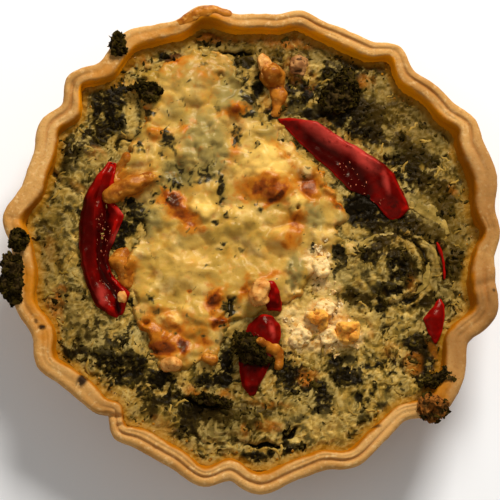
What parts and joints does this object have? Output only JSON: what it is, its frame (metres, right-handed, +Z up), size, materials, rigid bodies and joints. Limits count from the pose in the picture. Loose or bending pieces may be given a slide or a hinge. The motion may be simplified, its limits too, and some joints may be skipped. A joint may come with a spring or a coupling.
{
  "type": "spinach quiche",
  "caption": "Small round spinach quiche: fluted shortcrust case filled with spinach custard, topped with melted cheese, roasted red pepper, feta and onion.",
  "frame": {"origin": "centre of the flat underside of the pastry case", "axes": "+Z up through the filling; +Y towards the side with the large spinach clump and the browned lump; +X towards the onion rings"},
  "size_m": [0.1664, 0.1644, 0.0346],
  "materials": {
    "pastry": "baked shortcrust, golden and slightly glossy where fat has browned it",
    "custard": "set egg custard with chopped spinach, moist",
    "melted_cheese": "melted cheese with browned blisters, glossy",
    "pepper": "roasted red pepper skin, oily",
    "onion": "soft cooked onion, moist",
    "feta": "crumbly white cheese, toasted at the tips",
    "browned_cheese": "browned cheese, glossy",
    "mushroom": "roasted mushroom, brown",
    "spinach": "matted spinach baked almost black"
  },
  "bodies": {
    "root": {"pastry_case": "pastry", "filling": "custard", "melted_cheese": "melted_cheese", "pepper_left": "pepper", "pepper_right": "pepper", "pepper_centre_top": "pepper", "pepper_centre_tail": "pepper", "pepper_edge": "pepper", "pepper_sliver": "pepper", "onion_round": "onion", "onion_arc": "onion", "onion_inner": "onion", "feta_north": "feta", "feta_middle": "feta", "feta_toasted": "feta", "feta_south": "feta", "feta_west": "feta", "cheese_lump_centre": "browned_cheese", "cheese_lump_left": "browned_cheese", "browned_lump_top": "browned_cheese", "mushroom_piece": "mushroom", "spinach_upper_left": "spinach", "spinach_upper_right": "spinach", "spinach_on_pepper": "spinach", "spinach_lower": "spinach", "char_beside_rim": "spinach", "spinach_rim_top": "spinach", "spinach_rim_small": "spinach", "spinach_rim_left": "spinach", "burnt_corner": "spinach"}
  },
  "joints": []
}
